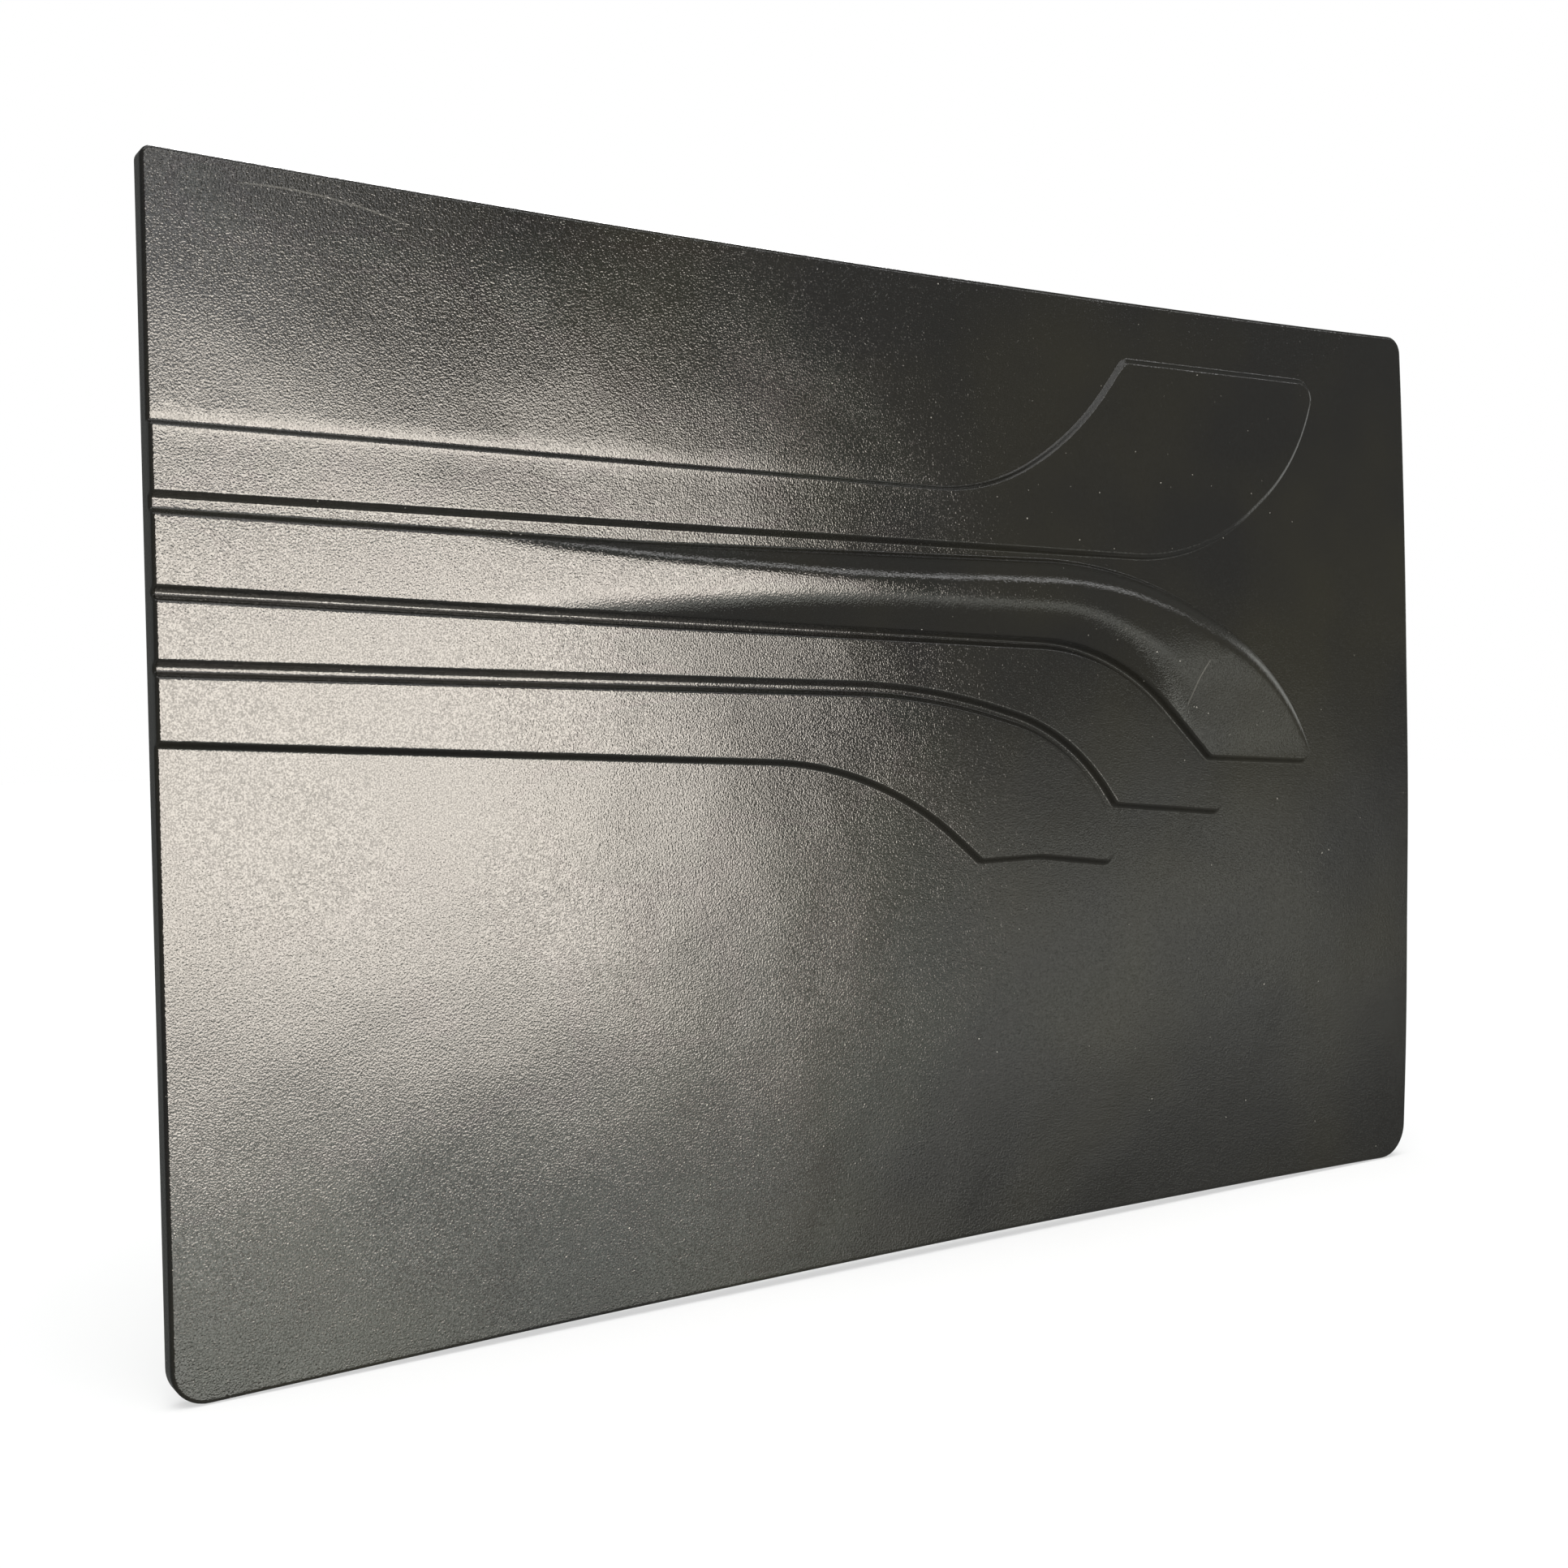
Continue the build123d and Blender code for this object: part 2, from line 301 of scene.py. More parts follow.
# Bow of the edge that follows each corner: the left edge is straight, the top and bottom
# edges bow inwards and the right edge bows outwards
EDGE_BOWS = (0.0, TOP_BOW, -RIGHT_BOW, BOTTOM_BOW)


def tray_outline():
    """Points clockwise round the tray and their normals, which point inwards."""
    arcs = []
    for index, (here, radius) in enumerate(TRAY_CORNERS):
        before = TRAY_CORNERS[index - 1][0]
        after = TRAY_CORNERS[(index + 1) % 4][0]
        ways = []
        for other, bow, side in (
            (before, EDGE_BOWS[index - 1], -1),
            (after, EDGE_BOWS[index], 1),
        ):
            way = unit(other - here)
            lean = 4 * bow / np.linalg.norm(other - here)
            ways.append(unit(way + side * np.array((way[1], -way[0])) * lean))
        half = math.acos(float(ways[0] @ ways[1])) / 2
        centre = here + unit(ways[0] + ways[1]) * radius / math.sin(half)
        enter, leave = (here + way * radius / math.tan(half) for way in ways)
        first = math.atan2(*(enter - centre)[::-1])
        sweep = math.atan2(*(leave - centre)[::-1]) - first
        sweep = (sweep + math.pi) % (2 * math.pi) - math.pi
        count = 10 if radius < 10 else 14
        angles = first + sweep * np.linspace(0, 1, count + 1)
        arcs.append(centre + radius * np.stack((np.cos(angles), np.sin(angles)), axis=1))
    points = []
    for index in range(4):
        points.append(arcs[index])
        start, end = arcs[index][-1], arcs[(index + 1) % 4][0]
        count = round(float(np.linalg.norm(end - start)) / 6)
        points.append(bowed(start, end, EDGE_BOWS[index], count))
    points = np.concatenate(points)
    along = np.roll(points, -1, axis=0) - np.roll(points, 1, axis=0)
    along /= np.linalg.norm(along, axis=1)[:, None]
    return points, np.stack((along[:, 1], -along[:, 0]), axis=1)


outline_points, outline_normals = tray_outline()


def depth_into_tray(p):
    """Distance of points p in from the tray's outline."""
    best = np.full(len(p), np.inf)
    starts = outline_points
    alongs = np.roll(outline_points, -1, axis=0) - starts
    for start, along in zip(starts, alongs):
        t = np.clip(((p - start) @ along) / (along @ along), 0, 1)
        best = np.minimum(best, ((p - start - t[:, None] * along) ** 2).sum(axis=1))
    return np.sqrt(best)


def roll_drop(d, radius):
    """How far a surface has rolled back at d in from its edge."""
    d = np.clip(d, 0, radius)
    return radius - np.sqrt(np.maximum(radius**2 - (radius - d) ** 2, 0))


def beaded_step(d):
    """The upper band's upper edge: a shallow groove, a steep wall and a faint bead."""
    groove = GROOVE * smooth((d + 6) / 4.6)
    bead = BEAD * smooth((d - 0.2) / 1.0) * (1 - smooth((d - 1.4) / 2.2))
    return (BAND_RISE + GROOVE) * smooth((d + 1.6) / 2.8) - groove + bead


def band_rise(into, step):
    """How far the bands stand out, from the signed distances into them."""
    start, width = step
    return np.max([BAND_RISE * smooth((d - start) / width) for d in into], axis=0)


def front_y(p):
    """Y of the face at points p."""
    into = depths_into_bands(p)
    rise = band_rise(into, FRONT_STEP)
    upper = into[0]
    nearest = distance(upper_edge, p) < np.abs(upper) + 0.01
    beaded = nearest & (np.abs(upper) < BEAD_REACH)
    rise = np.where(beaded, beaded_step(upper), rise)
    faded = 1 - FADE * smooth((p[:, 0] - FADE_FROM) / FADE_OVER)
    rise = np.where(beaded | (upper > 0), rise * faded, rise)
    rise += crown_height(p, into[1])
    return -DEPTH - rise - ripple(p) + roll_drop(depth_into_tray(p), ROLL)


def back_y(p):
    """Y of the sheet's back at points p."""
    into = depths_into_bands(p)
    rise = band_rise(into, BACK_STEP)
    rise += crown_height(p, into[1], BACK_SETBACK)
    return SHEET - DEPTH - rise + roll_drop(depth_into_tray(p) - SHEET, INNER_ROLL)


def tessellate(loops, chains, scattered, keep):
    """Triangles that hold every loop and chain as edges, where keep says so."""
    verts, edges = [], []
    for points in loops + chains:
        base, count = len(verts), len(points)
        verts += [Vector(point) for point in points]
        edges += [(base + i, base + i + 1) for i in range(count - 1)]
        if any(points is loop for loop in loops):
            edges.append((base + count - 1, base))
    verts += [Vector(point) for point in scattered]
    result = delaunay_2d_cdt(verts, edges, [], 0, 1e-3, False)
    points = np.array([vert[:] for vert in result[0]], float)
    triangles = np.array(result[2])
    triangles = triangles[keep(points[triangles].mean(axis=1))]
    used, triangles = np.unique(triangles, return_inverse=True)
    return points[used], triangles.reshape(-1, 3)


def border(triangles):
    """The vertices round the outside of a triangulation, in order."""
    pairs = {(int(t[i]), int(t[(i + 1) % 3])) for t in triangles for i in range(3)}
    after = {a: b for a, b in pairs if (b, a) not in pairs}
    start = next(iter(after))
    loop = [start]
    while after[loop[-1]] != start:
        loop.append(after[loop[-1]])
    return loop


rng = np.random.default_rng(7)
PANEL_BOX, CROWN_BOX = ((-440, -300), (448, 298)), ((-290, -10), (350, 130))
CROWN_SHOWS = 0.02  # the crown is drawn where its growth is more than this
PAST_STEP = 3.6  # lines on the crown's upper slope keep this far from the band's outline
OUTER_STEP, OUTER_GAP = 2.0, 2.3  # lines further out than a step keep clear of other bands


def scatter(spacing, box):
    """A grid of points over a box of X and Z, each moved a little at random."""
    low, high = box
    x, z = np.meshgrid(
        np.arange(low[0], high[0], spacing), np.arange(low[1], high[1], spacing)
    )
    p = np.stack((x.ravel(), z.ravel()), axis=1)
    return p + rng.uniform(-0.22, 0.22, p.shape) * spacing


def band_chains(offsets, spacing):
    """Lines beside each band's outline, left out where they would run into another band's."""
    chains = []
    for index, (path, _) in enumerate(bands):
        points, normals = sample(path, spacing)
        for offset in offsets:
            moved = points + normals * offset
            others = np.delete(np.abs(depths_into_bands(moved)), index, axis=0).min(axis=0)
            free = others > (OUTER_GAP if offset < -OUTER_STEP else 0)
            starts = np.flatnonzero(free & ~np.append(False, free[:-1]))
            for start in starts:
                stops = np.flatnonzero(~free[start:])
                stop = start + (stops[0] if len(stops) else len(free) - start)
                if stop - start > 1:
                    chains.append(moved[start:stop])
    return chains


def crown_chains(setback=0.0):
    """Lines along the crown's ridge and across its rounded upper slope."""
    chains = []
    for path, side, steps in (
        (crown_lower, 0, (-8, -6, -4, -2, 0, 2, 4, 6, 8)),
        (crown_upper, 1, (0.5, 0.85, 1.2, 1.6, 2.0)),
    ):
        points, normals = sample(path, 5.0, 4.0)
        for step in steps:
            moved = points
            for _ in range(4):
                width = slope_widths(crown_growth(moved))[side]
                reach = width + step if side == 0 else width * step
                moved = points + normals * (reach + setback)[:, None]
            grown = crown_growth(moved) > CROWN_SHOWS
            if side == 1:
                grown &= reach + setback > PAST_STEP
            if grown.any():
                first, last = np.flatnonzero(grown)[[0, -1]]
                chains.append(moved[first : last + 1])
    return chains


def sheet_side(loop_offsets, band_offsets, coarse, fine, height):
    """One face of the sheet: its plan as points and triangles, and the height at each."""
    loops = [outline_points + outline_normals * offset for offset in loop_offsets]
    edge = loops[0]
    chains = band_chains(band_offsets, coarse / 2) + crown_chains(max(0, band_offsets[0]))
    p = scatter(coarse, PANEL_BOX)
    into = np.array(depths_into_bands(p))
    clear = (np.abs(into).min(axis=0) > 6) & (depth_into_tray(p) > 9) & inside(edge, p)
    on_crown = (into[1] > 0) & (crown_growth(p) > CROWN_SHOWS)
    p = p[clear & ~on_crown]
    q = scatter(fine, CROWN_BOX)
    into = depths_into_bands(q)[1]
    q = q[(into > 5.5) & (crown_growth(q) > CROWN_SHOWS)]
    points, triangles = tessellate(
        loops, chains, np.concatenate((p, q)), lambda centre: inside(edge, centre)
    )
    return points, triangles, height(points)


# Distances in from the tray's outline and from the bands' outlines at which lines are drawn
FRONT_LOOPS = (0, 0.07, 0.25, 0.55, 0.95, 1.45, 1.9, 2.3, 3.4)
FRONT_STEPS = (-1.8, -1.3, -0.8, -0.3, 0.3, 0.8, 1.3, 1.9, 2.6, 4.2, -2.5, -4.0, -5.4)
BACK_LOOPS = (3.0, 3.1, 3.35, 3.7, 4.0, 4.9)
BACK_STEPS = (1.2, 1.9, 2.6, 3.4, 4.1, 4.8)
CUT_EDGE = 0.35  # how far the trimmed edge is broken
EDGE_Y = 0.0  # the turned-back edge ends at the truck's wall

front_points, front_triangles, front_heights = sheet_side(
    FRONT_LOOPS, FRONT_STEPS, 12.0, 6.0, front_y
)
back_points, back_triangles, back_heights = sheet_side(
    BACK_LOOPS, BACK_STEPS, 18.0, 9.0, back_y
)

verts, faces, kinds = [], [], []
GRAINED, SMOOTH_BACK, TRIMMED = 0, 1, 2


def add_points(points, heights):
    """Adds points in plan with their Y, and says which vertices they are."""
    base = len(verts)
    heights = np.broadcast_to(heights, len(points))
    verts.extend((x * MM, y * MM, z * MM) for (x, z), y in zip(points, heights))
    return list(range(base, len(verts)))


def add_faces(new, kind):
    faces.extend(new)
    kinds.extend([kind] * len(new))


def wall(points, loop, rings, kind, normals):
    """Rings of quads from a face's border: each ring is (move inwards, Y)."""
    last = loop
    for inward, y in rings:
        ring = add_points(points + normals * inward, y)
        pairs = zip(last, last[1:] + last[:1], ring, ring[1:] + ring[:1])
        add_faces([(a, b, d, c) for a, b, c, d in pairs], kind)
        last = ring
    return last


def loop_normals(points):
    """Normals of a loop that runs anticlockwise, pointing inwards."""
    along = np.roll(points, -1, axis=0) - np.roll(points, 1, axis=0)
    along /= np.maximum(np.linalg.norm(along, axis=1), 1e-9)[:, None]
    return np.stack((-along[:, 1], along[:, 0]), axis=1)


ends = []
for points, triangles, heights, kind, rings in (
    (
        front_points,
        front_triangles,
        front_heights,
        GRAINED,
        ((0, -9.0), (0, -6.0), (0, -3.0), (0, -CUT_EDGE), (0.1, -0.1), (CUT_EDGE, EDGE_Y)),
    ),
    (
        back_points,
        back_triangles[:, ::-1],
        back_heights,
        SMOOTH_BACK,
        ((0, -7.3), (0, -4.0), (0, -CUT_EDGE), (-0.1, -0.1), (-CUT_EDGE, EDGE_Y)),
    ),
):
    index = add_points(points, heights)
    base = index[0]
    add_faces([tuple(int(i) + base for i in t) for t in triangles], kind)
    loop = border(triangles if kind == GRAINED else triangles[:, ::-1])
    rim = points[loop]
    normals = loop_normals(rim)
    last = wall(rim, [i + base for i in loop], rings, kind, normals)
    ends.append((rim + normals * rings[-1][0], last))

(outer_rim, outer_index), (inner_rim, inner_index) = ends
rim_points, rim_triangles = tessellate(
    [outer_rim, inner_rim],
    [],
    [],
    lambda centre: inside(outer_rim, centre) & ~inside(inner_rim, centre),
)
rim_index = add_points(rim_points, EDGE_Y)
add_faces([tuple(int(i) + rim_index[0] for i in t) for t in rim_triangles], TRIMMED)

sheet_mesh = bpy.data.meshes.new("liner_sheet")
sheet_mesh.from_pydata(verts, [], faces)
sheet_mesh.polygons.foreach_set("material_index", kinds)
work = bmesh.new()
work.from_mesh(sheet_mesh)
bmesh.ops.remove_doubles(work, verts=work.verts, dist=4e-6)
bmesh.ops.dissolve_degenerate(work, edges=work.edges, dist=1e-6)
bmesh.ops.recalc_face_normals(work, faces=work.faces)
open_edges = sum(not edge.is_manifold for edge in work.edges)
print("sheet:", len(work.verts), "vertices,", len(work.faces), "faces,", open_edges, "open")
work.to_mesh(sheet_mesh)
work.free()
sheet_mesh.polygons.foreach_set("use_smooth", [True] * len(sheet_mesh.polygons))
sheet = bpy.data.objects.new("liner_sheet", sheet_mesh)
bpy.context.collection.objects.link(sheet)
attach(sheet, "panel")
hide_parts("liner_shell")

# ---------------------------------------------------------------- materials


class Nodes:
    """A short way to write a material's nodes."""

    def __init__(self, name):
        self.material = bpy.data.materials.new(name)
        self.material.use_nodes = True
        self.tree = self.material.node_tree
        self.shader = self.tree.nodes["Principled BSDF"]

    def add(self, kind, **values):
        node = self.tree.nodes.new(kind)
        for key, value in values.items():
            if isinstance(value, dict):
                for socket, setting in value.items():
                    self.set(node.inputs[socket], setting)
            else:
                setattr(node, key, value)
        return node

    def set(self, socket, setting):
        if isinstance(setting, bpy.types.NodeSocket):
            self.tree.links.new(setting, socket)
        else:
            socket.default_value = setting

    def math(self, operation, *inputs):
        node = self.add("ShaderNodeMath", operation=operation)
        for socket, setting in zip(node.inputs, inputs):
            self.set(socket, setting)
        return node.outputs[0]

    def place(self):
        return self.add("ShaderNodeTexCoord").outputs["Object"]

    def noise(self, scale, detail=2.0, rough=0.5):
        node = self.add(
            "ShaderNodeTexNoise",
            inputs={
                "Vector": self.place(),
                "Scale": scale,
                "Detail": detail,
                "Roughness": rough,
            },
        )
        return node.outputs["Fac"]

    def map(self, value, low, high, to_low, to_high):
        node = self.add(
            "ShaderNodeMapRange",
            inputs={
                "Value": value,
                "From Min": low,
                "From Max": high,
                "To Min": to_low,
                "To Max": to_high,
            },
        )
        return node.outputs["Result"]

    def blend(self, factor, first, second):
        node = self.add("ShaderNodeMix", data_type="RGBA")
        self.set(node.inputs["Factor"], factor)
        self.set(node.inputs[6], first)
        self.set(node.inputs[7], second)
        return node.outputs[2]

    def bump(self, height, distance, under=None):
        node = self.add(
            "ShaderNodeBump", inputs={"Height": height, "Distance": distance, "Strength": 1.0}
        )
        if under is not None:
            self.set(node.inputs["Normal"], under)
        return node.outputs["Normal"]

    def finish(self, **sockets):
        for name, setting in sockets.items():
            self.set(self.shader.inputs[name.replace("_", " ")], setting)
        return self.material


def arc_mask(n, centre, radius, half_width, low, high):
    """A thin line along an arc seen from the front, within a box of X and Z, in metres."""
    place = n.add("ShaderNodeSeparateXYZ", inputs={"Vector": n.place()})
    x, z = place.outputs["X"], place.outputs["Z"]
    dx, dz = n.math("SUBTRACT", x, centre[0]), n.math("SUBTRACT", z, centre[1])
    span = n.math("SQRT", n.math("ADD", n.math("POWER", dx, 2.0), n.math("POWER", dz, 2.0)))
    off = n.math("ABSOLUTE", n.math("SUBTRACT", span, radius))
    mask = n.map(off, half_width * 0.4, half_width, 1.0, 0.0)
    for value, start, end, fade in (
        (x, low[0], high[0], 0.010),
        (z, low[1], high[1], 0.002),
    ):
        mask = n.math("MULTIPLY", mask, n.map(value, start, start + fade, 0.0, 1.0))
        mask = n.math("MULTIPLY", mask, n.map(value, end - fade, end, 1.0, 0.0))
    return mask


def grained_plastic():
    """The face: grain, a slow swell, clouded colour and gloss, pale flecks painted into the
    colour as glints, and a thin scratch and a nick.
    """
    n = Nodes("grained_plastic")
    cell = n.add(
        "ShaderNodeTexVoronoi",
        feature="SMOOTH_F1",
        inputs={"Vector": n.place(), "Scale": 950.0, "Smoothness": 0.3, "Randomness": 1.0},
    ).outputs["Distance"]
    fine = n.noise(1050.0, 1.0, 0.5)
    grain = n.math("ADD", n.math("MULTIPLY", cell, 0.45), fine)
    normal = n.bump(grain, 0.000115)
    swell = n.noise(9.0, 2.0, 0.5)
    normal = n.bump(swell, 0.0012, normal)
    cloud = n.noise(5.0, 3.0, 0.55)
    tint = n.map(cloud, 0.42, 0.66, 0.0, 1.0)
    colour = n.blend(tint, (0.0060, 0.0060, 0.0058, 1), (0.0085, 0.0082, 0.0062, 1))
    # Painted glints: pale flecks painted into the base colour, standing in for the grain catching
    # the light
    painted_glint_flecks = n.map(n.noise(420.0, 1.0, 0.4), 0.795, 0.815, 0.0, 1.0)
    scratch = arc_mask(n, (-0.3816, 0.0384), 0.250, 0.0007, (-0.402, 0.270), (-0.312, 0.295))
    nick = arc_mask(n, (0.300, 0.010), 0.083, 0.0007, (0.214, 0.032), (0.244, 0.064))
    lines = n.math("MULTIPLY", n.math("MAXIMUM", scratch, nick), 0.2)
    # The painted glint flecks and the scratch and nick lighten the colour and raise the roughness
    scratches_and_painted_glints = n.math("MAXIMUM", painted_glint_flecks, lines)
    colour = n.blend(scratches_and_painted_glints, colour, (0.13, 0.13, 0.12, 1))
    rough = n.map(n.noise(14.0, 4.0, 0.6), 0.3, 0.7, 0.10, 0.13)
    rough = n.math("ADD", rough, n.math("MULTIPLY", scratches_and_painted_glints, 0.25))
    sheen = n.map(n.noise(1250.0, 0.0, 0.5), 0.3, 0.7, 0.36, 0.66)
    return n.finish(Base_Color=colour, Roughness=rough, Specular_IOR_Level=sheen, Normal=normal)


def smooth_back():
    """The sheet's back, which no mould has touched."""
    n = Nodes("sheet_back")
    cloud = n.noise(7.0, 4.0, 0.6)
    colour = n.blend(
        n.map(cloud, 0.35, 0.7, 0.0, 1.0), (0.018, 0.018, 0.018, 1), (0.034, 0.034, 0.033, 1)
    )
    normal = n.bump(n.noise(160.0, 3.0, 0.5), 0.00005)
    rough = n.map(n.noise(30.0, 3.0, 0.6), 0.3, 0.7, 0.36, 0.52)
    return n.finish(Base_Color=colour, Roughness=rough, Normal=normal)


def cut_edge():
    """The sawn edge that rests on the wall."""
    n = Nodes("cut_edge")
    saw = n.noise(900.0, 3.0, 0.7)
    colour = n.blend(saw, (0.022, 0.022, 0.022, 1), (0.060, 0.060, 0.058, 1))
    return n.finish(Base_Color=colour, Roughness=0.62, Normal=n.bump(saw, 0.0002))


def moulded(name, dark, light, rough_low, rough_high, **extra):
    """A hard moulded plastic with a faint texture."""
    n = Nodes(name)
    cloud = n.noise(60.0, 3.0, 0.6)
    colour = n.blend(n.map(cloud, 0.3, 0.7, 0.0, 1.0), (*dark, 1), (*light, 1))
    rough = n.map(n.noise(240.0, 3.0, 0.6), 0.3, 0.7, rough_low, rough_high)
    normal = n.bump(n.noise(1400.0, 2.0, 0.5), 0.00002)
    return n.finish(Base_Color=colour, Roughness=rough, Normal=normal, **extra)


def foam(name, dark, light, cell_scale, depth):
    """Cut foam with open pores."""
    n = Nodes(name)
    cells = n.add(
        "ShaderNodeTexVoronoi", inputs={"Vector": n.place(), "Scale": cell_scale}
    ).outputs["Distance"]
    pores = n.math("ADD", cells, n.math("MULTIPLY", n.noise(cell_scale * 2.1, 3.0, 0.6), 0.6))
    colour = n.blend(n.map(pores, 0.35, 1.0, 1.0, 0.0), (*dark, 1), (*light, 1))
    normal = n.bump(pores, depth)
    return n.finish(Base_Color=colour, Roughness=0.92, Normal=normal)


for material in (grained_plastic(), smooth_back(), cut_edge()):
    sheet_mesh.materials.append(material)
seat_material = moulded("seat_plastic", (0.055, 0.055, 0.060), (0.085, 0.085, 0.090), 0.38, 0.50)
clip_material = moulded(
    "clip_nylon",
    (0.66, 0.63, 0.55),
    (0.76, 0.74, 0.67),
    0.30,
    0.42,
    Subsurface_Weight=0.12,
    Subsurface_Radius=(0.002, 0.0016, 0.0011),
)
washer_material = foam(
    "washer_foam", (0.010, 0.010, 0.010), (0.035, 0.035, 0.036), 2600.0, 0.0001
)
pad_material = foam("pad_foam", (0.020, 0.020, 0.022), (0.085, 0.085, 0.090), 1100.0, 0.0004)

# ---------------------------------------------------------------- hardware


def soften(node, material, width):
    """A CAD node with its own material, and its sharp edges broken."""
    ob = nodes[node]
    for slot in ob.material_slots:
        slot.material = material
    if not ob.material_slots:
        ob.data.materials.append(material)
    bevel = ob.modifiers.new("break_edges", "BEVEL")
    bevel.width = width
    bevel.segments = 2
    bevel.limit_method = "ANGLE"
    bevel.angle_limit = math.radians(38)
    bevel.harden_normals = True


def fix_normals(data):
    work = bmesh.new()
    work.from_mesh(data)
    bmesh.ops.recalc_face_normals(work, faces=work.faces)
    work.to_mesh(data)
    work.free()


def foam_piece(name, points, polygons, material, body, node):
    """A foam mesh that stands for a CAD node."""
    data = bpy.data.meshes.new(name)
    data.from_pydata(points, [], polygons)
    data.materials.append(material)
    data.polygons.foreach_set("use_smooth", [True] * len(data.polygons))
    ob = bpy.data.objects.new(name, data)
    bpy.context.collection.objects.link(ob)
    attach(ob, body)
    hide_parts(node)
    fix_normals(data)


noise.seed_set(7)  # without a seed, noise_vector differs from run to run


def uneven(point, cell, amount, seed):
    """A small displacement, as cut foam has."""
    return noise.noise_vector(Vector(point) / cell + Vector((seed, 3.1 * seed, 0))) * amount


PAD_CORNER, PAD_SPACING = 0.004, 0.003
PAD_CLEAR = 0.00025  # a pad's sides stay this far inside its CAD box
PAD_WAIST = 0.0009  # how far the sides are drawn in at half height
PAD_LEVELS, PAD_EDGE_LEVELS, PAD_TOP_RINGS = 8, 5, 8
PAD_SIDE_LOW, PAD_SIDE_SHORT = 0.0002, 0.0022  # where the sides begin, and how much shorter
PAD_EDGE_IN, PAD_EDGE_DOWN, PAD_EDGE_UP = 0.0017, 0.0019, 0.0015
PAD_DOME = 0.00025


def foam_pad(number):
    """A cut foam block: a rounded plan, sides drawn in at half height, a faintly domed top."""
    node = f"foam_pad_{number:02d}"
    low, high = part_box(node)
    middle = (low + high) / 2
    half_x, half_z = (high.x - low.x) / 2, (high.z - low.z) / 2
    tall = high.y - low.y
    plan = []
    for sx, sz, start in ((1, 1, 0), (-1, 1, 90), (-1, -1, 180), (1, -1, 270)):
        for step in range(7):
            angle = math.radians(start + 15 * step)
            x = sx * (half_x - PAD_CORNER) + PAD_CORNER * math.cos(angle)
            z = sz * (half_z - PAD_CORNER) + PAD_CORNER * math.sin(angle)
            plan.append((x, z))
    dense = []
    for (x1, z1), (x2, z2) in zip(plan, plan[1:] + plan[:1]):
        count = max(1, round(math.hypot(x2 - x1, z2 - z1) / PAD_SPACING))
        for step in range(count):
            dense.append((x1 + (x2 - x1) * step / count, z1 + (z2 - z1) * step / count))
    rings = []
    for level in range(PAD_LEVELS + 1):
        t = level / PAD_LEVELS
        waist = PAD_WAIST * math.sin(math.pi * t)
        rings.append((PAD_CLEAR + waist, low.y + PAD_SIDE_LOW + t * (tall - PAD_SIDE_SHORT)))
    for step in range(1, PAD_EDGE_LEVELS + 1):
        angle = math.radians(90 / PAD_EDGE_LEVELS * step)
        inset = PAD_CLEAR + PAD_EDGE_IN * (1 - math.cos(angle))
        rings.append((inset, high.y - PAD_EDGE_DOWN + PAD_EDGE_UP * math.sin(angle)))
    points, polygons = [], []
    count = len(dense)

    def ring_points(scale_x, scale_z, y):
        for x, z in dense:
            point = Vector((middle.x + x * scale_x, y, middle.z + z * scale_z))
            coarse = uneven(point, 0.006, 0.00022, number)
            point += coarse + uneven(point, 0.0017, 0.00012, number)
            point.y = min(max(point.y, low.y + 0.00005), high.y - 0.0001)
            points.append(point)

    for inset, y in rings:
        ring_points(1 - inset / half_x, 1 - inset / half_z, y)
    inset, top_y = rings[-1]
    for step in range(1, PAD_TOP_RINGS):
        t = 1 - step / PAD_TOP_RINGS
        y = top_y + PAD_DOME * (1 - t * t)
        ring_points((1 - inset / half_x) * t, (1 - inset / half_z) * t, y)
    levels = len(rings) + PAD_TOP_RINGS - 1
    for level in range(levels - 1):
        for i in range(count):
            j = (i + 1) % count
            a, b = level * count + i, level * count + j
            polygons.append((a, b, b + count, a + count))
    centre = len(points)
    points.append(Vector((middle.x, top_y + 0.0003, middle.z)))
    last = (levels - 1) * count
    polygons += [(last + i, last + (i + 1) % count, centre) for i in range(count)]
    polygons.append(tuple(reversed(range(count))))
    name = f"pad_{number:02d}"
    foam_piece(name, points, polygons, pad_material, "panel", node)


WASHER_INNER, WASHER_MIDDLE = 0.0054, 0.008
WASHER_RIM = 0.0005  # radius of a washer's soft rims
WASHER_OUT, WASHER_IN = 0.00006, 0.00002  # how far its outside and its hole clear the CAD's
TURNS = 72


def foam_washer(number):
    """A die-cut foam ring with soft rims and an uneven side."""
    node = f"seal_washer_{number:02d}"
    low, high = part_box(node)
    x, z = (low.x + high.x) / 2, (low.z + high.z) / 2
    outer = (high.x - low.x) / 2 - WASHER_RIM
    inner = WASHER_INNER + WASHER_RIM
    profile = []
    for centre_r, centre_y, start, clear in (
        (outer, high.y - WASHER_RIM, 90, -WASHER_OUT),
        (outer, low.y + WASHER_RIM, 0, -WASHER_OUT),
        (inner, low.y + WASHER_RIM, -90, WASHER_IN),
        (inner, high.y - WASHER_RIM, -180, WASHER_IN),
    ):
        for step in range(4):
            angle = math.radians(start - 30 * step)
            r = centre_r + WASHER_RIM * math.cos(angle) + clear
            profile.append((r, centre_y + WASHER_RIM * math.sin(angle)))
    points, polygons = [], []
    count = len(profile)
    for turn in range(TURNS):
        angle = 2 * math.pi * turn / TURNS
        for r, y in profile:
            point = Vector((x + r * math.cos(angle), y, z + r * math.sin(angle)))
            shake = uneven(point, 0.0016, 0.00005, number)
            if r > WASHER_MIDDLE:
                point += Vector((shake.x, 0, shake.z))
            points.append(point)
    for turn in range(TURNS):
        here, after = turn * count, (turn + 1) % TURNS * count
        for i in range(count):
            j = (i + 1) % count
            polygons.append((here + i, here + j, after + j, after + i))
    name, body = f"washer_{number:02d}", f"clip_{number:02d}"
    foam_piece(name, points, polygons, washer_material, body, node)


